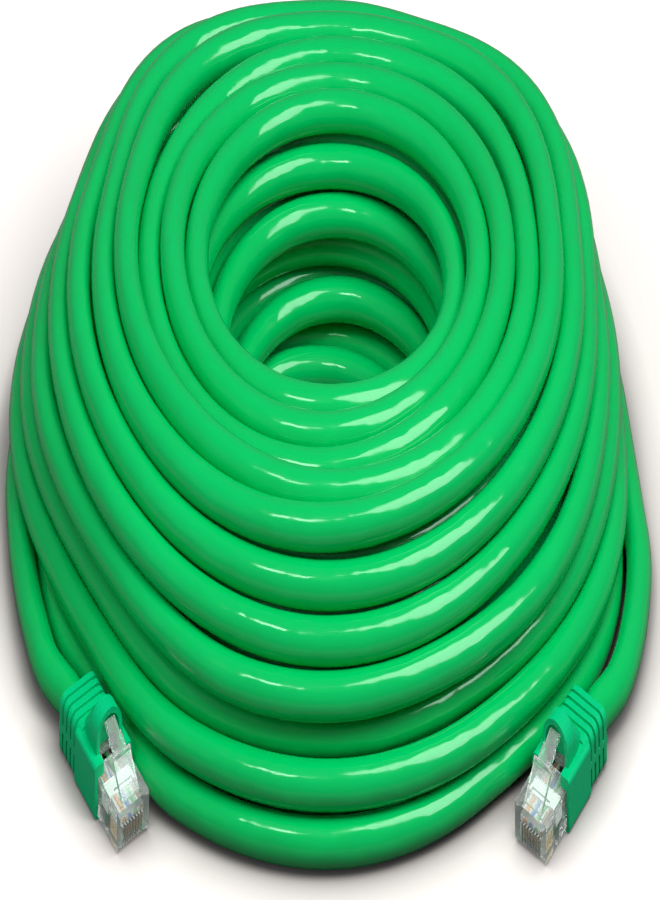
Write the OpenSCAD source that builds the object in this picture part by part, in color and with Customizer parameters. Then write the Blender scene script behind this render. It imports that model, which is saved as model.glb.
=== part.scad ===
// Coiled ethernet patch cable with a snagless 8P8C plug on each end.
// Millimetres, +Z up. The origin is on the floor, at the middle of the coil.

/* [Cable] */
// Outer diameter of the cable's jacket
cable_d = 8.2; // [8:0.1:8.4]
// Wall of the jacket
jacket_wall = 1; // [0.8:0.05:1]
// Outer diameter of one insulated wire
wire_d = 0.95; // [0.85:0.01:0.97]
// Thickness of the separator's arms
separator_t = 0.5; // [0.3:0.05:0.6]

/* [Coil] */
// Radius of the lowest outer turn, at its middle
floor_turn_r = 92; // [90:0.5:94]
// Radius of the hole's lowest turn, at its middle
hole_floor_r = 37; // [36:0.5:40]
// Radius of the hole's highest turn, at its middle
hole_turn_r = 45; // [43:0.5:46]
// Turns in the outer layer
turns = 17; // [15:1:17]
// Least gap between the core and a turn
core_gap = 0.6; // [0.4:0.1:1]

/* [Plug placement] */
// Angle from the coil's front round to the end of the left boot
left_boot_angle = 49.1; // [48:0.1:51]
// Distance of the left boot's end beyond the lowest outer turn's middle
left_boot_out = 14.1; // [13.8:0.1:15]
// Turn of the left plug away from straight ahead
left_yaw = 34.4; // [32:0.1:36]
// Angle from the coil's front round to the end of the right boot
right_boot_angle = 48.3; // [47.5:0.1:50]
// Distance of the right boot's end beyond the lowest outer turn's middle
right_boot_out = 18; // [17:0.1:19]
// Turn of the right plug away from straight ahead
right_yaw = 36.5; // [34:0.1:38]

/* [Plug housing] */
// Width of the plug
plug_w = 11.68; // [11.5:0.02:11.8]
// Length of the plug
plug_l = 21.46; // [21:0.02:22.5]
// Height of the plug in front of its raised rear
plug_h = 6.7; // [6.5:0.05:6.9]
// Height of the plug's raised rear
rear_h = 8; // [7.8:0.05:8.4]
// Start of the raised rear, from the nose
rear_y = 15.5; // [15.5:0.1:17]
// Thickness of the plug's side walls
side_wall = 1.15; // [0.9:0.05:1.4]
// Height of the wires' row above the underside
wire_z = 4; // [3.9:0.05:4.1]
// Height of the cable's axis above the underside
cable_z = 4.5; // [4.5:0.05:4.6]

/* [Contacts] */
// Distance between neighbouring contacts
contact_pitch = 1.02; // [1.0:0.005:1.04]
// Thickness of a contact
contact_t = 0.35; // [0.25:0.01:0.4]
// Length of a contact along the plug
contact_l = 4.8; // [4:0.1:5]
// Depth that a contact's prongs reach into a wire
prong_bite = 0.4; // [0.2:0.05:0.5]

/* [Load bar and wedge] */
// Length of the load bar
bar_l = 3.6; // [2.5:0.1:4]
// Height of the load bar
bar_h = 2.2; // [1.8:0.1:2.6]
// Width of the strain wedge
wedge_w = 6; // [5:0.1:7]
// Length of the strain wedge
wedge_l = 4; // [3:0.1:4.5]

/* [Latch] */
// Width of the latch at its root
latch_w = 6.2; // [5.8:0.05:6.4]
// Width of the latch behind its shoulders
neck_w = 4.2; // [3.8:0.05:4.6]
// Width of the latch's tip
tip_w = 3.3; // [3:0.05:3.6]
// Thickness of the latch
latch_t = 1; // [0.9:0.05:1.1]
// Distance of the latch's shoulders behind its hinge
shoulder_y = 5.2; // [4.8:0.1:5.6]
// Height of the free latch's shoulders above its hinge
shoulder_z = 4.2; // [3.8:0.1:4.4]
// Distance of the latch's tip behind its hinge
tip_y = 12; // [11.5:0.1:12.3]
// Height of the free latch's tip above its hinge
tip_z = 6.6; // [6.2:0.1:6.7]
// Radius of the latch's hinge barrel
hinge_r = 0.55; // [0.45:0.05:0.6]

/* [Boot] */
// Start of the boot, from the nose
boot_y = 11.4; // [11:0.1:12]
// Length of the ribbed tail
tail_l = 10.7; // [10:0.1:12]
// Wall of the boot beside the plug
boot_wall = 0.95; // [0.8:0.05:1.1]
// Wall of the boot under the plug
boot_floor = 0.8; // [0.6:0.05:1]
// Wall of the boot beside the cable
tail_wall = 1.9; // [1.7:0.05:2]
// Ribs on the tail
ribs = 4; // [3:1:5]
// Thickness of a rib
rib_t = 1.5; // [1:0.1:1.7]
// Height of a rib above the tail
rib_h = 0.55; // [0.3:0.05:0.7]
// Wall of the boot above the cable
roof_wall = 0.9; // [0.8:0.05:1.2]
// Outer radius of the hood over the latch
hood_r = 4.7; // [4.65:0.05:5]
// Wall of the hood
hood_wall = 1.1; // [1:0.05:1.15]
// Start of the hood, from the nose
hood_y = 14; // [13.8:0.1:14.5]
// Length of the hood's ridge
hood_l = 4; // [3.5:0.1:4.5]
// Height of the hood's ridge above the plug's raised rear
hood_rise = 8; // [7.9:0.1:8.5]

/* [Fits] */
// Gap between the plug and the boot, and between other fixed pieces
fit_gap = 0.05; // [0.02:0.01:0.1]
// Gap round the latch's hinge barrel
hinge_gap = 0.06; // [0.03:0.01:0.1]

/* [Hidden] */

$fn = 32;
over = 1;

// ---- Places that several pieces share, in the plug's own frame: nose at y = 0, latch up ----
half_w = plug_w / 2;
slot_top = wire_z - wire_d / 2;
channel_h = wire_d + 0.15;
contact_y = 0.6;
bar_y = contact_y + contact_l + 0.8;
cavity_y = bar_y - fit_gap;
cavity_half_w = half_w - side_wall;
top_wall = 0.8;
pair_rise = 1.75;
cavity_bottom = cable_z - pair_rise - wire_d / 2 - 0.07;
wedge_y = bar_y + bar_l + 3.6;
jacket_y = plug_l + 0.75;
tail_y = plug_l + 1.6;
boot_end = tail_y + tail_l;
jacket_end_y = boot_end + 1;
gather_y = jacket_y + 1;
pair_end_y = jacket_end_y - 0.5;
hinge_y = 1.9;
hinge_z = plug_h + 0.3;
latch_recess = 0.45;
recess_l = 4.4;
hood_z = rear_h + hood_rise - hood_r;
boot_half_w = half_w + fit_gap + boot_wall;
sleeve_top = rear_h + fit_gap + boot_wall;
tail_half = cable_d / 2 + tail_wall;
tail_top = cable_z + cable_d / 2 + roof_wall;

// ---- Places of the plugs, in the part's frame ----
front_swell = 10.5;
front_turn_r = floor_turn_r + front_swell;
// Nose of the left or the right plug, from the end of its boot: [right of the middle, towards the front]
function nose_of(angle, out, yaw) = let (r = floor_turn_r + out)
    [r * sin(angle) - boot_end * sin(yaw), r * cos(angle) + boot_end * cos(yaw)];
left_nose = nose_of(left_boot_angle, left_boot_out, left_yaw);
right_nose = nose_of(right_boot_angle, right_boot_out, right_yaw);
function nose_at(side) = side < 0 ? left_nose : right_nose;
function turn_of(side) = side < 0 ? left_yaw : -right_yaw;
plug_z = boot_floor;

// ---- The cord's places, in the part's frame ----
// The coil's turns lie on a track, a half outline of the pile: [radius, height above the floor turn]
corner_r = 10;
bulge_h = 10;
inner_h = 42;
// The outer wall's radii are given beyond the lowest outer turn's
outer_wall = [[-15.5, 42], [-9.5, 37], [-4, 30.5], [1, 24.5], [5, 19], [8.5, 14.4], [10.5, 9.8]];
floor_cut = cable_d / 10;
floor_z = cable_d / 2 - floor_cut;
// Half the side of the block that cuts the winding flat
cut_half = 1.5 * floor_turn_r;
rings_per_turn = 24;
turn_sides = 6;
lead_sides = 10;
wire_sides = 6;
// Straight start and end of a lead
lead_stub = 3;
// Free stretches, from the boot to the coil, between their first and last points:
// [angle from the front, distance beyond the lowest outer turn, height]
left_route = [[57, 14.9, 5.1], [63, 13.4, 4.7], [70, 11.9, 4.3], [79, 10.7, 4.1], [90, 10.4, 4.1],
    [102, 8.5, 4.1], [114, 6, 4.1], [126, 4, 4.1], [138, 2.5, 4.1], [151, 1, 4.1], [165, 0, 4.1]];
right_route = [[55, 18.6, 5.1], [60, 17.4, 4.7], [67, 14.8, 4.4], [75, 11.6, 4.2], [83, 9, 4.1], [93, 8, 4.1],
    [104, 8.5, 4.2], [115, 9.2, 4.4], [126, 9.6, 4.8], [137, 10, 5.6], [148, 10.5, 7.4], [158, 10.5, 9.6],
    [168, 10.5, 11.8]];

track = concat(
    [[floor_turn_r, 0]],
    [for (a = [0 : 22.5 : 90])
        [hole_floor_r + corner_r * (1 - sin(a)), corner_r * (1 - cos(a))]],
    [for (a = [0 : 22.5 : 90])
        [hole_turn_r + corner_r * (1 - cos(a)), inner_h - corner_r * (1 - sin(a))]],
    [for (p = outer_wall) p + [floor_turn_r, 0]]);
steps = [for (i = [1 : len(track) - 1]) norm(track[i] - track[i - 1])];
function reach(i) = i == 0 ? 0 : reach(i - 1) + steps[i - 1];
reaches = [for (i = [0 : len(track) - 1]) reach(i)];
track_l = reaches[len(track) - 1];
function leg(s, i = 0) = i >= len(steps) - 1 || s <= reaches[i + 1] ? i : leg(s, i + 1);
function on_track(s) = let (i = leg(s), t = (s - reaches[i]) / steps[i])
    track[i] + t * (track[i + 1] - track[i]);

// The floor turn swells forward, so that it runs under the front of the pile
pitch = track_l / turns;
front_r = floor_turn_r - pitch / 2;
function swell(angle, place) = (front_turn_r - front_r) * pow(max(0, -sin(angle)), 3)
    * max(0, 1 - place[1] / bulge_h) * max(0, (place[0] - hole_floor_r) / (front_r - hole_floor_r));
function turn_angle(u) = 90 - 360 * u;
// The first eighth of a turn settles from the lead's height to the floor
function settle(u) = floor_cut * max(0, 1 - 8 * u);
function turn_point(u) = let (place = on_track(u / turns * track_l), angle = turn_angle(u),
    r = place[0] + swell(angle, place))
    [r * cos(angle), r * sin(angle), place[1] + floor_z + settle(u)];
coil_points = [for (i = [0 : turns * rings_per_turn]) turn_point(i / rings_per_turn)];
coil_start = coil_points[0];
coil_end = coil_points[len(coil_points) - 1];
winding_points = concat([coil_start - [cable_d, 0, 0]], coil_points, [coil_end + [cable_d, 0, 0]]);

// Least gap of the winding to itself, between points half a turn or more apart
function least(list, i = 0, best = 1e6) = i >= len(list) ? best : least(list, i + 1, min(best, list[i]));
self_gap = least([for (i = [0 : len(coil_points) - 1], j = [i + 12 : 1 : min(i + 30, len(coil_points) - 1)])
    norm(coil_points[i] - coil_points[j])]) - cable_d;
far_gap = least([for (i = [0 : 2 : len(coil_points) - 1], j = [i + 30 : 2 : len(coil_points) - 1])
    norm(coil_points[i] - coil_points[j])]) - cable_d;
echo(least_gap_mm = min(self_gap, far_gap), pitch_mm = pitch);

// A point of the plug's frame, in the part's frame; side is -1 for the left plug and 1 for the right
function on_plug(side, p) = let (a = turn_of(side), nose = nose_at(side))
    [side * nose[0] + p[0] * cos(a) - p[1] * sin(a), -nose[1] + p[0] * sin(a) + p[1] * cos(a), plug_z + p[2]];
echo(left_hinge = on_plug(-1, [0, hinge_y, hinge_z]), right_hinge = on_plug(1, [0, hinge_y, hinge_z]));
echo(left_nose = on_plug(-1, [0, 0, plug_h / 2]), right_nose = on_plug(1, [0, 0, plug_h / 2]));

module at_plug(side) {
    translate([side * nose_at(side)[0], -nose_at(side)[1], plug_z]) rotate([0, 0, turn_of(side)]) children();
}

// ---- Tubes swept along points ----
function unit(v) = v / norm(v);
function heading(points, i) = unit(points[min(i + 1, len(points) - 1)] - points[max(i - 1, 0)]);
function across(t) = unit(cross(t, [0, 0, 1]));
function ring(c, t, r, sides) = let (u = across(t), v = cross(u, t))
    [for (k = [0 : sides - 1]) c + r * (cos(360 * k / sides) * u + sin(360 * k / sides) * v)];
function side_faces(rings, sides) = [for (i = [0 : rings - 2], k = [0 : sides - 1], half = [0, 1])
    let (a = i * sides + k, b = i * sides + (k + 1) % sides)
    half == 0 ? [a, b, a + sides] : [b, b + sides, a + sides]];
function end_faces(rings, sides) = concat(
    [for (k = [1 : sides - 2]) [0, k + 1, k]],
    [for (k = [1 : sides - 2]) let (z = (rings - 1) * sides) [z, z + k, z + k + 1]]);

module tube(points, d, sides) {
    rings = len(points);
    corners = [for (i = [0 : rings - 1]) each ring(points[i], heading(points, i), d / 2, sides)];
    polyhedron(points = corners, faces = concat(side_faces(rings, sides), end_faces(rings, sides)));
}

// ---- Coil ----
module coil_winding() {
    color("limegreen") difference() {
        tube(winding_points, cable_d, turn_sides);
        middle_block(cut_half, -cut_half, cut_half, -cable_d, 0);
    }
}

// The track, moved in by a distance
function inward(d) = [d[1], -d[0]];
function leg_normal(i) = inward(unit(track[min(i + 1, len(track) - 1)] - track[min(i, len(track) - 2)]));
function corner_normal(i) = let (a = leg_normal(max(i - 1, 0)), b = leg_normal(min(i, len(track) - 2)))
    (a + b) / (1 + a * b);
function inset(d) = [for (i = [0 : len(track) - 1]) track[i] + d * corner_normal(i)];

module coil_core() {
    color("seagreen") translate([0, 0, floor_z]) rotate_extrude($fn = 96)
        polygon(inset(cable_d / 2 + core_gap));
}

function beside(side, p) = let (r = floor_turn_r + p[1]) [side * r * sin(p[0]), -r * cos(p[0]), p[2]];
function lead_points(side, route, end) = concat([on_plug(side, [0, jacket_end_y, cable_z])],
    [on_plug(side, [0, jacket_end_y + lead_stub, cable_z])], [for (p = route) beside(side, p)],
    [end + [side * lead_stub, 0, 0], end]);

module left_lead() {
    color("limegreen") tube(lead_points(-1, left_route, winding_points[0]), cable_d, lead_sides);
}

module right_lead() {
    last = winding_points[len(winding_points) - 1];
    color("limegreen") tube(lead_points(1, right_route, last), cable_d, lead_sides);
}

// ---- Plug housing ----
module block(x0, x1, y0, y1, z0, z1) {
    translate([x0, y0, z0]) cube([x1 - x0, y1 - y0, z1 - z0]);
}

module middle_block(half, y0, y1, z0, z1) {
    block(-half, half, y0, y1, z0, z1);
}

module at_contacts() {
    for (i = [0 : 7]) translate([(i - 3.5) * contact_pitch, 0, 0]) children();
}

module housing() {
    slot_half = contact_t / 2 + fit_gap;
    latch_bed = latch_w / 2 + hinge_gap;
    ear_half = latch_bed + 1;
    color("lightcyan", 0.5) difference() {
        union() {
            middle_block(half_w, 0, plug_l, 0, plug_h);
            middle_block(half_w, rear_y, plug_l, 0, rear_h);
            middle_block(ear_half, hinge_y - 1.2, hinge_y + 1.2, 0, hinge_z);
        }
        // Slots for the contacts, open under the nose and at its front
        at_contacts() middle_block(slot_half, -over, contact_y + contact_l + fit_gap, -over, slot_top);
        // Channel for the row of wires, and the hollow behind it
        middle_block(4 * contact_pitch + 0.1, 1.2, cavity_y + over, slot_top - 0.05, slot_top + channel_h);
        middle_block(cavity_half_w, cavity_y, bar_y + bar_l, wire_z - bar_h / 2 - fit_gap,
            wire_z + bar_h / 2 + fit_gap);
        middle_block(cavity_half_w, bar_y + bar_l, rear_y, cavity_bottom, plug_h - top_wall);
        middle_block(cavity_half_w, rear_y - over, plug_l + over, cavity_bottom, rear_h - top_wall);
        // Window for the strain wedge
        middle_block(wedge_w / 2 + fit_gap, wedge_y, wedge_y + wedge_l + 2 * fit_gap, -over, plug_h / 2);
        // Cradle for the latch's hinge
        middle_block(latch_bed, hinge_y - 1.2 - over, hinge_y + 1.2 + over, plug_h, hinge_z + over);
        middle_block(latch_bed, hinge_y, hinge_y + recess_l, plug_h - latch_recess, hinge_z + over);
        translate([0, hinge_y, hinge_z]) rotate([0, 90, 0])
            cylinder(h = 2 * latch_bed, r = hinge_r + hinge_gap, center = true);
    }
}

// ---- Latch ----
// A flat bar with rounded ends, between two places [y, z] behind and above the hinge
module bar(from, to, width) {
    hull() for (p = [from, to])
        translate([0, p[0], p[1]]) rotate([0, 90, 0]) cylinder(h = width, d = latch_t, center = true, $fn = 16);
}

module latch() {
    shoulders = [shoulder_y, shoulder_z];
    tip = [tip_y, tip_z];
    neck_end = shoulders + 0.55 * (tip - shoulders);
    color("azure", 0.7) translate([0, hinge_y, hinge_z]) {
        rotate([0, 90, 0]) cylinder(h = latch_w, r = hinge_r, center = true);
        bar([0, 0], shoulders, latch_w);
        bar(shoulders, neck_end, neck_w);
        bar(neck_end, tip, tip_w);
        // Lip that the jack's step holds
        bar(shoulders, shoulders + [0, latch_t / 2], latch_w);
    }
}

// ---- Contacts ----
module contact_blade() {
    low = 0.55;
    prong = wire_z - wire_d / 2 + prong_bite;
    top = slot_top - fit_gap;
    y1 = contact_y + contact_l;
    translate([contact_t / 2, 0, 0]) rotate([90, 0, -90]) mirror([1, 0, 0])
        linear_extrude(contact_t) polygon([[contact_y, low + 0.5], [contact_y + 0.5, low], [y1, low],
            [y1, top], [y1 - 0.6, prong], [y1 - 1.2, top], [contact_y + 2.2, top], [contact_y + 1.6, prong],
            [contact_y + 1, top], [contact_y, top]]);
}

module contacts() {
    color("gold") at_contacts() contact_blade();
}

// ---- Load bar and wedge ----
module load_bar() {
    hole_r = wire_d / 2 + 0.025;
    color("gainsboro") difference() {
        middle_block(cavity_half_w - fit_gap, bar_y, bar_y + bar_l, wire_z - bar_h / 2, wire_z + bar_h / 2);
        at_contacts() translate([0, bar_y - over, wire_z]) rotate([-90, 0, 0])
            cylinder(h = bar_l + 2 * over, r = hole_r, $fn = 24);
    }
}

module strain_wedge() {
    color("whitesmoke") difference() {
        middle_block(wedge_w / 2, wedge_y + fit_gap, wedge_y + fit_gap + wedge_l, 0.3, cavity_bottom);
        translate([0, wedge_y - over, 0.3]) rotate([-30, 0, 0]) block(-wedge_w, wedge_w, -3, 2, -3, 0);
    }
}

// ---- Cable end ----
module jacket_end() {
    color("limegreen") translate([0, jacket_y, cable_z]) rotate([-90, 0, 0]) difference() {
        cylinder(h = jacket_end_y - jacket_y, d = cable_d, $fn = 64);
        translate([0, 0, -over])
            cylinder(h = pair_end_y - jacket_y + over, r = cable_d / 2 - jacket_wall, $fn = 64);
    }
}

module separator() {
    arm = cable_d / 2 - jacket_wall - fit_gap;
    color("white") translate([0, gather_y, cable_z]) for (a = [45, 135])
        rotate([0, a, 0])
            middle_block(arm, 0, pair_end_y - gather_y - fit_gap, -separator_t / 2, separator_t / 2);
}

// Places of the eight wires behind the load bar, as [x, height above the cable's axis]
gathered = [[-2.55, -0.4], [-1.7, 0.4], [-0.53, pair_rise], [-0.53, -pair_rise],
    [0.53, -pair_rise], [0.53, pair_rise], [1.7, 0.4], [2.55, -0.4]];

module wire(i, shade) {
    x = (i - 4.5) * contact_pitch;
    g = gathered[i - 1];
    color(shade) tube([[x, 1.4, wire_z], [x, bar_y - 0.4, wire_z], [x, bar_y + bar_l + 0.3, wire_z],
        [g[0], gather_y, cable_z + g[1]], [g[0], gather_y + 3, cable_z + g[1]],
        [g[0], pair_end_y - fit_gap, cable_z + g[1]]], wire_d, wire_sides);
}

module pair(a, b, shade) {
    wire(a, "white");
    wire(b, shade);
}

// ---- Boot ----
// A block with rounded edges along the plug
module soft_block(half, y0, y1, z0, z1, r) {
    translate([0, y1, 0]) rotate([90, 0, 0]) linear_extrude(y1 - y0) {
        translate([-half + r, z0]) square([2 * (half - r), z1 - z0]);
        translate([-half, z0 + r]) square([2 * half, z1 - z0 - 2 * r]);
        for (x = [-half + r, half - r], z = [z0 + r, z1 - r]) translate([x, z]) circle(r, $fn = 24);
    }
}

module boot_body() {
    soft_block(boot_half_w, boot_y, tail_y + 0.5, -boot_floor, sleeve_top, 1);
    soft_block(tail_half, tail_y - over, boot_end, -boot_floor, tail_top, 2);
    // Hood: a raised arch whose back runs down to the tail
    hull() {
        hood_disc(hood_y, hood_l);
        soft_block(hood_r - 1, tail_y, tail_y + 1, cable_z, tail_top, 2);
    }
}

module hood_disc(y, l) {
    translate([0, y, hood_z]) rotate([-90, 0, 0]) cylinder(h = l, r = hood_r, $fn = 32);
    middle_block(hood_r, y, y + l, rear_h - 2, hood_z);
}

module rib(y) {
    soft_block(tail_half + rib_h, y, y + rib_t, -boot_floor, tail_top + rib_h, 2);
}

module boot() {
    rib_step = (tail_l - rib_t) / ribs;
    band_h = 1.2;
    latch_bay = hood_r - hood_wall;
    bay_y = rear_y + 1.6;
    color("mediumseagreen") difference() {
        union() {
            boot_body();
            for (i = [1 : ribs]) rib(tail_y + i * rib_step - rib_step / 2 + rib_t / 4);
            // Band along each side, between the ribs' upper and lower rows
            middle_block(tail_half + rib_h, tail_y, boot_end - 0.5, cable_z - band_h / 2,
                cable_z + band_h / 2);
        }
        // Hollow for the housing
        middle_block(half_w + fit_gap, boot_y - over, plug_l + fit_gap, -fit_gap, plug_h + fit_gap);
        middle_block(half_w + fit_gap, rear_y - fit_gap, plug_l + fit_gap, -fit_gap, rear_h + fit_gap);
        // Bore for the cable, and the room that the pairs cross
        translate([0, jacket_y - fit_gap, cable_z]) rotate([-90, 0, 0])
            cylinder(h = boot_end, r = cable_d / 2 + fit_gap, $fn = 64);
        middle_block(cavity_half_w, plug_l, jacket_y, cavity_bottom, rear_h - top_wall);
        // Bay that the latch's tail moves in, open to the front
        middle_block(latch_bay, boot_y - over, hood_y, plug_h, sleeve_top + over);
        middle_block(latch_bay, boot_y - over, bay_y, plug_h, hood_z);
        translate([0, boot_y - over, hood_z]) rotate([-90, 0, 0])
            cylinder(h = bay_y - boot_y + over, r = latch_bay, $fn = 32);
    }
}

coil_winding();
coil_core();
left_lead();
right_lead();
at_plug(-1) housing();  // left_housing
at_plug(-1) latch();  // left_latch
at_plug(-1) contacts();  // left_contacts
at_plug(-1) load_bar();  // left_load_bar
at_plug(-1) strain_wedge();  // left_strain_wedge
at_plug(-1) boot();  // left_boot
at_plug(-1) jacket_end();  // left_jacket_end
at_plug(-1) separator();  // left_separator
at_plug(-1) pair(1, 2, "orange");  // left_pair_orange
at_plug(-1) pair(3, 6, "green");  // left_pair_green
at_plug(-1) pair(5, 4, "blue");  // left_pair_blue
at_plug(-1) pair(7, 8, "sienna");  // left_pair_brown
at_plug(1) housing();  // right_housing
at_plug(1) latch();  // right_latch
at_plug(1) contacts();  // right_contacts
at_plug(1) load_bar();  // right_load_bar
at_plug(1) strain_wedge();  // right_strain_wedge
at_plug(1) boot();  // right_boot
at_plug(1) jacket_end();  // right_jacket_end
at_plug(1) separator();  // right_separator
at_plug(1) pair(1, 2, "orange");  // right_pair_orange
at_plug(1) pair(3, 6, "green");  // right_pair_green
at_plug(1) pair(5, 4, "blue");  // right_pair_blue
at_plug(1) pair(7, 8, "sienna");  // right_pair_brown
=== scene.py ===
"""Coiled ethernet patch cable: the looks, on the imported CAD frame.

Metres, +Z up, origin on the floor. The cable's path is worked out in millimetres.
"""
import math
import random

import bmesh
import bpy
import numpy as np
from mathutils import Matrix, Vector


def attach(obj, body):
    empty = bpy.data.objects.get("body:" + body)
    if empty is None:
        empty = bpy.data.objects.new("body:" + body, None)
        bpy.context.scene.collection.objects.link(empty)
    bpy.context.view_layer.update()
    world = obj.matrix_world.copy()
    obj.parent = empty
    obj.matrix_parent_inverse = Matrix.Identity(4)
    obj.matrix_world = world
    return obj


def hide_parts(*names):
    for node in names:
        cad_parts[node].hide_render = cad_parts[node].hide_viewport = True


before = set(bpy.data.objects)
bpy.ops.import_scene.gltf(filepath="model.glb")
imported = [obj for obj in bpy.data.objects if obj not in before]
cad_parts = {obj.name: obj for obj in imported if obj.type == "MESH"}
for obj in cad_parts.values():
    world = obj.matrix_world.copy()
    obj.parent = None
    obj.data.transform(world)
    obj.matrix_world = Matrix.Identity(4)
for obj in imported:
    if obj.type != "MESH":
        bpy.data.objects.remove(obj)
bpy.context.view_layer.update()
MM = 0.001

# ---------------------------------------------------------------- camera
# The photograph is squeezed to half of its width. The matrix between the camera and its holder is
# slanted, so that the main view is squeezed alike, while the object keeps its true, round form.
SQUEEZE = 0.5
ELEVATION = math.radians(34.3)
DISTANCE = 3.0
TARGET_Z = 0.0073
LENS_MM = 496.3


def make_camera():
    """The scene's camera, with a slant towards its holder that squeezes the picture sideways."""
    data = bpy.data.cameras.new("camera")
    camera = bpy.data.objects.new("camera", data)
    bpy.context.scene.collection.objects.link(camera)
    data.sensor_width = 36
    data.sensor_fit = "HORIZONTAL"
    data.lens = LENS_MM
    data.clip_start = 0.1
    data.clip_end = 20
    holder = bpy.data.objects.new("camera_holder", None)
    bpy.context.scene.collection.objects.link(holder)
    position = Vector((0, -math.cos(ELEVATION) * DISTANCE,
                       TARGET_Z + math.sin(ELEVATION) * DISTANCE))
    lean = math.acos(SQUEEZE)
    slant = Matrix.Identity(4)
    slant[1][1] = math.cos(lean)
    slant[2][1] = math.sin(lean)
    turn = Matrix.Rotation(math.radians(90) - ELEVATION, 4, "X")
    camera.parent = holder
    camera.matrix_parent_inverse = Matrix.Translation(position) @ turn @ slant
    bpy.context.scene.camera = camera


make_camera()

# ---------------------------------------------------------------- the cable's path, in millimetres
CABLE_D = 8.2
RADIUS = CABLE_D / 2
CABLE_SIDES = 24
# Distance between the path's points
STEP = 4.0
# The plugs, as in the CAD: nose to the right of the middle and towards the front, and turn, by side
PLUGS = {-1: (61.1228, 97.3238, 34.4), 1: (62.049, 100.314, 36.5)}
PLUG_Z = 0.8
CABLE_Z = 4.5
JACKET_Y = 22.21
BOOT_Y = 11.4
BOOT_END = 33.76
FLOOR_TURN_R = 92.0
# Free stretches: [degrees from the front, distance beyond the lowest outer turn, height]
LEFT_ROUTE = [
    [57, 14.9, 5.1], [63, 13.4, 4.7], [70, 11.9, 4.3], [79, 10.7, 4.1], [90, 10.4, 4.1],
    [102, 8.5, 4.1], [114, 6, 4.1], [126, 4, 4.1], [138, 2.5, 4.1], [151, 1, 4.1], [165, 0, 4.1],
]
RIGHT_ROUTE = [
    [55, 18.6, 5.1], [60, 17.4, 4.7], [67, 14.8, 4.4], [75, 11.6, 4.2], [83, 7.2, 4.1],
    [93, 4.4, 4.1], [104, 4.5, 4.1], [115, 6.5, 4.1], [126, 8.5, 4.1], [137, 10, 4.1],
    [148, 10.5, 4.3], [158, 10.5, 4.8], [168, 10.5, 5.6],
]
# Points that join the left stretch to the first turn, and the last turn to the right stretch
LEFT_JOIN = (-9.0, 92.0, 4.1)
RIGHT_JOIN = (9.0, 102.5, 6.1)
# Places along a plug that its cable runs straight through
STRAIGHT_Y = (JACKET_Y, 26, 30, BOOT_END + 1, BOOT_END + 4)
# Turns, each at the back, right, front and left: (radius, height)
TURNS = [
    [(92, 4.1), (87.8, 4.1), (102.5, 4.1), (93.8, 4.1)],
    [(83, 4.1), (79.5, 4.1), (91.3, 4.1), (84.2, 4.1)],
    [(74, 4.1), (71, 4.1), (82.5, 4.1), (76, 4.1)],
    [(65, 4.1), (62.5, 4.1), (73, 4.1), (67, 4.1)],
    [(56, 4.1), (54, 4.1), (63.5, 4.1), (58, 4.1)],
    [(47, 4.1), (45.5, 4.1), (54, 4.1), (49, 4.1)],
    [(38, 4.1), (37, 4.1), (43, 4.1), (38.5, 4.1)],
    [(28.5, 4.1), (28.5, 4.3), (32, 5.5), (33.5, 10)],
    [(36, 13.2), (38.5, 12.6), (41, 12.4), (43, 12.4)],
    [(45, 12.4), (47.5, 12.4), (49.5, 12.4), (51.5, 12.4)],
    [(53.5, 12.4), (56, 12.4), (58, 12.4), (60, 12.4)],
    [(62.5, 12.4), (64.5, 12.4), (66.5, 12.4), (69, 12.4)],
    [(71, 12.4), (73.5, 12.4), (75, 12.4), (77.5, 12.4)],
    [(80, 12.4), (82.5, 12.6), (82.5, 13), (86, 15)],
    [(87, 20), (85, 20.7), (82, 21.5), (80, 20.7)],
    [(78.5, 20.7), (76, 20.7), (73.5, 20.7), (71.5, 20.7)],
    [(70, 20.7), (67.5, 20.7), (65, 20.7), (63, 20.7)],
    [(61.5, 20.7), (59, 20.7), (56.5, 20.7), (54.5, 20.7)],
    [(52.5, 20.7), (50, 20.7), (48, 20.7), (46, 20.7)],
    [(43, 21), (40, 23), (38, 26.5), (37.5, 28.5)],
    [(38.5, 29), (41, 29), (43.5, 29), (46, 29)],
    [(48, 29), (50.5, 29), (53, 29), (55, 29)],
    [(57, 29), (59.5, 29), (61.5, 29), (63.5, 29)],
    [(66, 29), (68.5, 29), (70.5, 29), (72.5, 29)],
    [(75, 29), (77, 29.5), (78.5, 29.5), (80.5, 31.5)],
    [(75.5, 36.8), (74, 37.3), (73.5, 37.3), (70.5, 37.3)],
    [(67.2, 37.3), (65.5, 37.3), (64.5, 37.3), (62, 37.3)],
    [(59, 37.3), (57, 37.3), (56, 37.3), (53.8, 37.3)],
    [(50.8, 37.3), (49, 37.3), (47.5, 37.3), (45.6, 37.3)],
    [(42.6, 37), (42, 41.5), (45, 45.6), (45, 45.5)],
    [(47, 45.6), (49.5, 46), (53.3, 45.2), (53, 48)],
    [(55.6, 45.6), (57.5, 48), (60.5, 44.5), (60.5, 44.5)],
    [(64, 45.6), (66, 45), (68, 45.7), (68, 48.5)],
    [(72.5, 45.6), (74, 46), (76, 45), (75.5, 44)],
    [(80.5, 41), (80.5, 40.8), (82.5, 37.2), (84, 39.5)],
    [(86.5, 35), (84.8, 34), (87.5, 30.5), (90, 33.8)],
    [(91, 28), (88.3, 26.7), (93, 23.7), (95, 27.3)],
    [(95.5, 21), (91.5, 19.1), (91.5, 15.6), (99, 20)],
    [(99.5, 13.8), (92.5, 11.3), (100, 12.4), (102, 12.2)],
    [(102.5, 6.2)],
]
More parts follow.
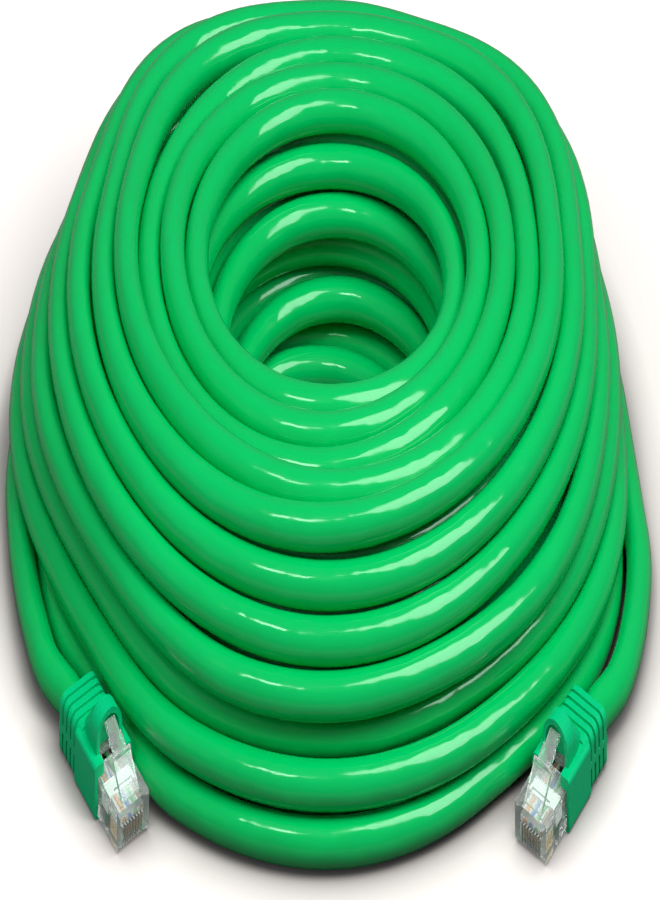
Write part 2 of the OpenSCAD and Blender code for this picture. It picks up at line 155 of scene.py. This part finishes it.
# Where turns lean out or in:
# (turn, degrees clockwise from the back, degrees over which it fades, outward)
LEANS = [
    (0, 117, 36, 7.3), (0, 226, 16, -4),
    (36, 130, 34, 2.5), (37, 123, 34, 2.5), (38, 118, 34, 2.5),
    (36, 230, 34, -4), (37, 237, 34, -4.5), (38, 242, 34, -4.5),
    (32, 50, 40, 3), (33, 50, 40, 5), (34, 52, 36, 7.2),
    (35, 54, 38, 7), (36, 54, 34, 4.5), (37, 50, 34, 1.5),
    (32, 322, 38, 3.5), (33, 322, 38, 7), (34, 324, 35, 8.4),
    (35, 322, 32, 6.8), (36, 322, 28, 1.5),
]
# Turns from here on lie loose enough to wander up and down
LOOSE_FROM = 7.5
# How far a turn wanders outward and upward, in its two-fold and its three-fold wave
WANDER_OUT = (0.7, 0.45)
WANDER_UP = (0.6, 0.4)
# Random numbers for the wander: the seed, and how many for each turn
SEED = 11
WAVE_NUMBERS = 8
# Points worked out on each quarter of a turn, and between two points of a smooth line
QUARTER_POINTS = 12
FINE_POINTS = 24
# Settling holds this many points at both ends, and frees as many more little by little. It aims at
# this gap between turns, and moves a point that touches many others less by this share.
HELD_POINTS = 14
SETTLE_GAP = 0.12
CROWDED = 0.6
# Pairs are looked for this close together and at least this many points apart, every so many rounds
PAIR_REACH = 12.0
PAIR_SKIP = 6
PAIR_EVERY = 16
# Room kept round a boot: half its width and its top, and how far before and behind it
BOOT_HALF_W = 7.0
BOOT_TOP = 11.5
BOOT_BEFORE = 6
BOOT_BEHIND = 2


def on_plug(side, x, y, z):
    """The place in the scene of a point given in a plug's own frame."""
    right, front, yaw = PLUGS[side]
    c, s = math.cos(-side * math.radians(yaw)), math.sin(-side * math.radians(yaw))
    return (side * right + x * c - y * s, -front + x * s + y * c, PLUG_Z + z)


def in_plug_frame(side, x, y):
    """Across and along a plug, for a place in the scene, with the cosine and sine of its turn."""
    right, front, yaw = PLUGS[side]
    c, s = math.cos(side * math.radians(yaw)), math.sin(side * math.radians(yaw))
    dx, dy = x - side * right, y + front
    return dx * c - dy * s, dx * s + dy * c, c, s


def beside(side, degrees, out, height):
    """A point beside the coil, at degrees from the front and out beyond the lowest outer turn."""
    r, t = FLOOR_TURN_R + out, math.radians(degrees)
    return (side * r * math.sin(t), -r * math.cos(t), height)


def catmull_rom(a, b, c, d, t):
    """The curve between b and c at t, from 0 to 1."""
    return 0.5 * (2 * b + (c - a) * t + (2 * a - 5 * b + 4 * c - d) * t ** 2
                  + (3 * b - a - 3 * c + d) * t ** 3)


def smooth_line(points, step):
    """Catmull-Rom through the points, then points at an even step along it."""
    p = np.array(points, float)
    p = np.vstack([2 * p[0] - p[1], p, 2 * p[-1] - p[-2]])
    fine = []
    for i in range(1, len(p) - 2):
        t = np.linspace(0, 1, FINE_POINTS, endpoint=False)[:, None]
        a, b, c, d = p[i - 1], p[i], p[i + 1], p[i + 2]
        fine.append(catmull_rom(a, b, c, d, t))
    fine = np.vstack(fine + [p[-2][None]])
    along = np.concatenate([[0], np.cumsum(np.linalg.norm(np.diff(fine, axis=0), axis=1))])
    count = max(2, round(along[-1] / step) + 1)
    at = np.linspace(0, along[-1], count)
    return np.column_stack([np.interp(at, along, fine[:, k]) for k in range(3)])


def coil_line():
    """Points along all the turns, which lean and wander as hand-wound turns do."""
    stations = [place for turn in TURNS for place in turn]
    draw = random.Random(SEED)
    waves = [[draw.uniform(-1, 1) for _ in range(WAVE_NUMBERS)] for _ in TURNS]
    points = []
    for quarter in range(len(stations) - 1):
        here = [stations[min(max(quarter + k, 0), len(stations) - 1)] for k in (-1, 0, 1, 2)]
        for sub in range(QUARTER_POINTS):
            t = sub / QUARTER_POINTS
            u = (quarter + t) / 4
            r, z = (catmull_rom(*(h[k] for h in here), t) for k in (0, 1))
            angle = math.radians(90 - 360 * u)
            for turn, degrees, fade, outward in LEANS:
                off = abs(360 * (u - turn) - degrees) / fade
                if off < 1:
                    r += outward * math.cos(math.pi / 2 * off) ** 2
            w = waves[int(u)]
            fade = math.sin(math.pi * (u % 1)) ** 2
            r += fade * (WANDER_OUT[0] * w[0] * math.sin(2 * angle + 3 * w[1])
                         + WANDER_OUT[1] * w[2] * math.sin(3 * angle + 3 * w[3]))
            if u > LOOSE_FROM:
                z += fade * (WANDER_UP[0] * w[4] * math.sin(2 * angle + 3 * w[5])
                             + WANDER_UP[1] * w[6] * math.sin(3 * angle + 3 * w[7]))
            points.append((r * math.cos(angle), r * math.sin(angle), z))
    r, z = stations[-1]
    points.append((0.0, r, z))
    return points


def near_pairs(x, reach, skip):
    """Pairs of points closer than reach and at least skip points apart along the line."""
    first, second = [], []
    for i in range(len(x) - skip):
        d = x[i + skip:] - x[i]
        near = np.nonzero(np.einsum("ij,ij->i", d, d) < reach * reach)[0]
        first.append(np.full(len(near), i))
        second.append(near + i + skip)
    return np.concatenate(first), np.concatenate(second)


def settle(line, rounds=160):
    """Pushes overlapping turns apart, off the floor and off the boots, and smooths the moves."""
    start = line.copy()
    x = line.copy()
    from_end = np.minimum(np.arange(len(x)), np.arange(len(x))[::-1])
    ramp = np.clip(from_end / HELD_POINTS - 1, 0, 1)
    for count in range(rounds):
        if count % PAIR_EVERY == 0:
            i, j = near_pairs(x, PAIR_REACH, PAIR_SKIP)
        d = x[j] - x[i]
        gap = np.linalg.norm(d, axis=1)
        push = np.clip(CABLE_D + SETTLE_GAP - gap, 0, None) / np.maximum(gap, 1e-6)
        shift = np.zeros_like(x)
        hits = np.zeros(len(x))
        np.add.at(shift, i, -0.5 * push[:, None] * d)
        np.add.at(shift, j, 0.5 * push[:, None] * d)
        np.add.at(hits, i, push > 0)
        np.add.at(hits, j, push > 0)
        x += ramp[:, None] * shift / np.maximum(1, hits * CROWDED)[:, None]
        for side in (-1, 1):
            px, py, c, s = in_plug_frame(side, x[:, 0], x[:, 1])
            half, top = BOOT_HALF_W + RADIUS, BOOT_TOP + RADIUS
            inside = ((np.abs(px) < half) & (py > BOOT_Y - BOOT_BEFORE)
                      & (py < BOOT_END + BOOT_BEHIND) & (x[:, 2] < top) & (ramp > 0))
            inward = -side * (half - np.abs(px)) * inside * 0.5
            x[:, 0] += inward * c
            x[:, 1] -= inward * s
        moved = x - start
        for _ in range(3):
            moved[1:-1] = 0.25 * moved[:-2] + 0.5 * moved[1:-1] + 0.25 * moved[2:]
            moved *= ramp[:, None]
        x = start + moved
        x[:, 2] = np.maximum(x[:, 2], RADIUS)
    i, j = near_pairs(x, PAIR_REACH, PAIR_SKIP)
    closest = np.linalg.norm(x[j] - x[i], axis=1).min()
    print("closest turns, mm:", round(float(closest), 2))
    return x


left_end, right_end = ([on_plug(side, 0, y, CABLE_Z) for y in STRAIGHT_Y] for side in (-1, 1))
whole = (left_end + [beside(-1, *p) for p in LEFT_ROUTE] + [LEFT_JOIN] + coil_line()
         + [RIGHT_JOIN] + [beside(1, *p) for p in reversed(RIGHT_ROUTE)] + right_end[::-1])
path = settle(smooth_line(whole, STEP))


def tube_mesh(name, points, radius, sides):
    """A closed tube along the points, with untwisted rings and the length along it as a UV."""
    p = np.array(points)
    tangent = np.gradient(p, axis=0)
    tangent /= np.linalg.norm(tangent, axis=1)[:, None]
    up = np.array([0.0, 0.0, 1.0])
    rings = []
    for c, t in zip(p, tangent):
        u = np.cross(t, up)
        u /= np.linalg.norm(u)
        v = np.cross(u, t)
        rings.append([c + radius * (math.cos(a) * u + math.sin(a) * v)
                      for a in (2 * math.pi * k / sides for k in range(sides))])
    bm = bmesh.new()
    verts = [[bm.verts.new(q) for q in ring] for ring in rings]
    uv = bm.loops.layers.uv.new("along")
    step = float(np.linalg.norm(p[1] - p[0]))
    for i in range(len(verts) - 1):
        for k in range(sides):
            n = (k + 1) % sides
            face = bm.faces.new((verts[i][k], verts[i][n], verts[i + 1][n], verts[i + 1][k]))
            face.smooth = True
            corners = ((i, k), (i, k + 1), (i + 1, k + 1), (i + 1, k))
            for loop, (a, b) in zip(face.loops, corners):
                loop[uv].uv = (a * step, b / sides)
    bm.faces.new(verts[0][::-1])
    bm.faces.new(verts[-1])
    bmesh.ops.recalc_face_normals(bm, faces=bm.faces)
    mesh = bpy.data.meshes.new(name)
    bm.to_mesh(mesh)
    bm.free()
    piece = bpy.data.objects.new(name, mesh)
    bpy.context.scene.collection.objects.link(piece)
    return piece


cable = tube_mesh("cable", path * MM, RADIUS * MM, CABLE_SIDES)
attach(cable, "cable")
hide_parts("coil_winding", "coil_core", "left_lead", "right_lead",
            "left_jacket_end", "right_jacket_end")

# ---------------------------------------------------------------- materials


def material(name):
    """A new material, with its nodes, its links and its main shader."""
    mat = bpy.data.materials.new(name)
    mat.use_nodes = True
    return mat, mat.node_tree.nodes, mat.node_tree.links, mat.node_tree.nodes["Principled BSDF"]


def noise(nodes, links, scale, detail):
    """Noise over the object's own coordinates, in metres."""
    place = nodes.new("ShaderNodeTexCoord")
    field = nodes.new("ShaderNodeTexNoise")
    field.inputs["Scale"].default_value = scale
    field.inputs["Detail"].default_value = detail
    links.new(place.outputs["Object"], field.inputs["Vector"])
    return field.outputs["Fac"]


def spread(nodes, links, value, low, high):
    """The middle of a noise's range, stretched over low to high."""
    span = nodes.new("ShaderNodeMapRange")
    span.inputs["From Min"].default_value = 0.3
    span.inputs["From Max"].default_value = 0.7
    span.inputs["To Min"].default_value = low
    span.inputs["To Max"].default_value = high
    links.new(value, span.inputs["Value"])
    return span.outputs["Result"]


def tinted(nodes, links, value, first, second):
    """A colour from first, where the value is 0, to second, a colour or a socket, where it is 1."""
    tint = nodes.new("ShaderNodeMix")
    tint.data_type = "RGBA"
    tint.inputs["A"].default_value = (*first, 1)
    if isinstance(second, bpy.types.NodeSocket):
        links.new(second, tint.inputs["B"])
    else:
        tint.inputs["B"].default_value = (*second, 1)
    links.new(value, tint.inputs["Factor"])
    return tint.outputs["Result"]


def bumped(nodes, links, bsdf, height, strength, depth):
    """Gives the shader a bump of this height's form, and of this depth in metres."""
    bump = nodes.new("ShaderNodeBump")
    bump.inputs["Strength"].default_value = strength
    bump.inputs["Distance"].default_value = depth
    links.new(height, bump.inputs["Height"])
    links.new(bump.outputs["Normal"], bsdf.inputs["Normal"])


def plastic(name, first, second, rough, grain, bump=0.15, depth=0.0004, ior=1.45,
            gloss=(1, 1, 1)):
    """Moulded or extruded plastic: drifting colour, a tinted and faintly scuffed gloss, a grain."""
    mat, nodes, links, bsdf = material(name)
    links.new(tinted(nodes, links, noise(nodes, links, 24, 3), first, second),
              bsdf.inputs["Base Color"])
    links.new(spread(nodes, links, noise(nodes, links, 150, 4), rough - 0.04, rough + 0.06),
              bsdf.inputs["Roughness"])
    bumped(nodes, links, bsdf, noise(nodes, links, grain, 2), bump, depth)
    bsdf.inputs["IOR"].default_value = ior
    bsdf.inputs["Specular Tint"].default_value = (*gloss, 1)
    return mat


def clear_plastic(name, tint, rough):
    """Clear moulded polycarbonate with faint flow marks, which casts no shadow on what it holds."""
    mat, nodes, links, bsdf = material(name)
    links.new(tinted(nodes, links, noise(nodes, links, 90, 2), tint, (1, 1, 1)),
              bsdf.inputs["Base Color"])
    links.new(spread(nodes, links, noise(nodes, links, 400, 3), rough, rough + 0.06),
              bsdf.inputs["Roughness"])
    bumped(nodes, links, bsdf, noise(nodes, links, 260, 2), 0.1, 0.0002)
    bsdf.inputs["Transmission Weight"].default_value = 0.88
    bsdf.inputs["IOR"].default_value = 1.32
    ray = nodes.new("ShaderNodeLightPath")
    through = nodes.new("ShaderNodeBsdfTransparent")
    choice = nodes.new("ShaderNodeMixShader")
    links.new(ray.outputs["Is Shadow Ray"], choice.inputs["Fac"])
    links.new(bsdf.outputs["BSDF"], choice.inputs[1])
    links.new(through.outputs["BSDF"], choice.inputs[2])
    links.new(choice.outputs["Shader"], nodes["Material Output"].inputs["Surface"])
    return mat


def gold():
    """Bright gold plating."""
    mat, nodes, links, bsdf = material("gold")
    links.new(tinted(nodes, links, noise(nodes, links, 700, 2), (0.95, 0.62, 0.2), (1, 0.76, 0.36)),
              bsdf.inputs["Base Color"])
    links.new(spread(nodes, links, noise(nodes, links, 1500, 3), 0.16, 0.34),
              bsdf.inputs["Roughness"])
    bsdf.inputs["Metallic"].default_value = 1
    return mat


def dress(part, mat):
    """Gives both plugs' nodes of this name the material."""
    for side in ("left", "right"):
        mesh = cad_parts[side + "_" + part].data
        mesh.materials.clear()
        mesh.materials.append(mat)


# How far out the edge between an outer pair's two wires lies, at these places along the plug
WIRES_Y = (9.8, 23.2)
WIRES_EDGE = (3.06, 2.12)


def wires(part, color, edge, white_side):
    """A pair's coloured wire and its white mate, which lies to the white side of the edge in x."""
    colored = plastic(part, color, tuple(0.85 * c for c in color), 0.3, 300)
    white = plastic(part + "_white", (0.5, 0.5, 0.48), tuple(0.38 + 0.15 * c for c in color),
                    0.3, 300)
    dress(part, colored)
    for side, name in ((-1, "left"), (1, "right")):
        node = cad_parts[name + "_" + part]
        node.data.materials.append(white)
        for face in node.data.polygons:
            place = node.matrix_world @ face.center / MM
            x, y = in_plug_frame(side, place.x, place.y)[:2]
            # The outer wires draw together from the load bar to where the eight are gathered
            between = edge * np.interp(y, WIRES_Y, WIRES_EDGE)
            face.material_index = int((x - between) * white_side > 0)


cable.data.materials.append(plastic(
    "jacket", (0, 0.5, 0.105), (0, 0.57, 0.135), 0.11, 60, ior=1.6, gloss=(0.75, 1, 0.88),
    bump=0.8, depth=0.0012))
dress("boot", plastic("boot", (0, 0.52, 0.19), (0, 0.6, 0.23), 0.4, 500, ior=1.4,
                      gloss=(0.5, 1, 0.8)))
dress("housing", clear_plastic("housing", (0.82, 0.93, 0.88), 0.03))
dress("latch", clear_plastic("latch", (0.82, 0.93, 0.88), 0.04))
dress("strain_wedge", clear_plastic("strain_wedge", (0.9, 0.95, 0.93), 0.06))
dress("load_bar", plastic("load_bar", (0.5, 0.56, 0.53), (0.6, 0.66, 0.63), 0.35, 300))
dress("separator", plastic("separator", (0.82, 0.82, 0.8), (0.9, 0.9, 0.88), 0.5, 300))
dress("contacts", gold())
wires("pair_orange", (0.6, 0.27, 0.09), -1, -1)
wires("pair_green", (0.06, 0.36, 0.12), 0, -1)
wires("pair_blue", (0.07, 0.15, 0.42), 0, 1)
wires("pair_brown", (0.2, 0.1, 0.05), 1, -1)

# ---------------------------------------------------------------- stage
FLOOR_COLOR = (0.94, 0.88, 0.85)
FLOOR_GLOW = 0
# The glow grows to white between these distances from the middle, where the lamps reach less
GLOW_REACH = (0.1, 0.27)
# Painted shade: how far and how strongly the floor's colour is darkened, by ambient occlusion,
# towards what stands on it
PAINTED_SHADE_REACH = 0.012
PAINTED_SHADE_DEPTH = 1.6
WORLD_LIGHT = (0.04, 0.04, 0.04)
# How the floor looks as bounce light, and the painted shadow colour in the deepest corner next to
# what stands on it
FLOOR_BOUNCE = (0.12, 0.12, 0.12)
PAINTED_SHADE_COLOR = (0.03, 0.02, 0.02)
FLOOR_HALF = 1.5
# Where the lamps point
AIM = (0, 0, 0.03)
# How white the surroundings look through clear plastic, where 1 is as white as beside it
THROUGH_CLEAR = 0.42
# How white they look as a reflection
IN_GLOSS = 0.1
bm = bmesh.new()
bmesh.ops.create_grid(bm, x_segments=8, y_segments=8, size=FLOOR_HALF)
floor_mesh = bpy.data.meshes.new("floor")
bm.to_mesh(floor_mesh)
bm.free()
floor = bpy.data.objects.new("floor", floor_mesh)
bpy.context.scene.collection.objects.link(floor)


def shown_white(nodes, links):
    """How white the surroundings are to a ray: 1 from the camera, less in plastic, 0 as light."""
    ray = nodes.new("ShaderNodeLightPath")
    white = ray.outputs["Is Camera Ray"]
    for kind, share in (("Is Transmission Ray", THROUGH_CLEAR), ("Is Glossy Ray", IN_GLOSS)):
        part = nodes.new("ShaderNodeMath")
        part.operation = "MULTIPLY"
        part.inputs[1].default_value = share
        links.new(ray.outputs[kind], part.inputs[0])
        most = nodes.new("ShaderNodeMath")
        most.operation = "MAXIMUM"
        links.new(white, most.inputs[0])
        links.new(part.outputs["Value"], most.inputs[1])
        white = most.outputs["Value"]
    return white


def floor_material():
    """Pale matt floor that gives dim bounce light, with a glow that is seen but gives no light, and
    painted shade that darkens its colour next to what stands on it.
    """
    mat, nodes, links, bsdf = material("floor")
    white = shown_white(nodes, links)
    # Painted shade: the floor's colour darkens close to what stands on the floor, found by ambient
    # occlusion, deepening the lamps' own shadow
    painted_shade_ao = nodes.new("ShaderNodeAmbientOcclusion")
    painted_shade_ao.inputs["Distance"].default_value = PAINTED_SHADE_REACH
    painted_shade = nodes.new("ShaderNodeMath")
    painted_shade.operation = "POWER"
    links.new(painted_shade_ao.outputs["AO"], painted_shade.inputs[0])
    painted_shade.inputs[1].default_value = PAINTED_SHADE_DEPTH
    shown = tinted(nodes, links, painted_shade.outputs["Value"], PAINTED_SHADE_COLOR, FLOOR_COLOR)
    links.new(tinted(nodes, links, white, FLOOR_BOUNCE, shown), bsdf.inputs["Base Color"])
    bsdf.inputs["Roughness"].default_value = 1
    bsdf.inputs["Specular IOR Level"].default_value = 0
    place = nodes.new("ShaderNodeTexCoord")
    away = nodes.new("ShaderNodeVectorMath")
    away.operation = "LENGTH"
    links.new(place.outputs["Object"], away.inputs[0])
    glow = nodes.new("ShaderNodeMapRange")
    glow.inputs["From Min"].default_value, glow.inputs["From Max"].default_value = GLOW_REACH
    glow.inputs["To Min"].default_value = FLOOR_GLOW
    glow.inputs["To Max"].default_value = 1
    links.new(away.outputs["Value"], glow.inputs["Value"])
    links.new(glow.outputs["Result"], bsdf.inputs["Emission Strength"])
    links.new(tinted(nodes, links, white, (0, 0, 0), (1, 1, 1)), bsdf.inputs["Emission Color"])
    return mat


floor.data.materials.append(floor_material())

world = bpy.data.worlds.new("world")
bpy.context.scene.world = world
world.use_nodes = True
nodes, links = world.node_tree.nodes, world.node_tree.links
links.new(tinted(nodes, links, shown_white(nodes, links), WORLD_LIGHT, (1, 1, 1)),
          nodes["Background"].inputs["Color"])
nodes["Background"].inputs["Strength"].default_value = 1


def softbox(name, place, aim, size, power):
    """A lamp that clear plastic doesn't show, so that it can't burn out what is inside."""
    data = bpy.data.lights.new(name, "AREA")
    data.shape = "RECTANGLE"
    data.size, data.size_y = size
    data.energy = power
    lamp = bpy.data.objects.new(name, data)
    bpy.context.scene.collection.objects.link(lamp)
    lamp.location = place
    lamp.rotation_euler = (Vector(aim) - Vector(place)).to_track_quat("-Z", "Y").to_euler()
    lamp.visible_transmission = False
    return lamp


softbox("key", (0.46, -0.26, 0.85), AIM, (0.5, 0.8), 7.5)
softbox("side", (-0.2, -0.42, 0.9), AIM, (0.2, 0.14), 1.0)
# Broad lights from above and from the left that make no highlights of their own
overhead = softbox("overhead", (0, -0.35, 1.2), AIM, (0.7, 0.7), 4.6)
fill = softbox("fill", (-0.65, -0.4, 0.5), AIM, (0.6, 0.5), 2)
for lamp in (overhead, fill):
    lamp.visible_glossy = False

bpy.context.scene.view_settings.view_transform = "Standard"
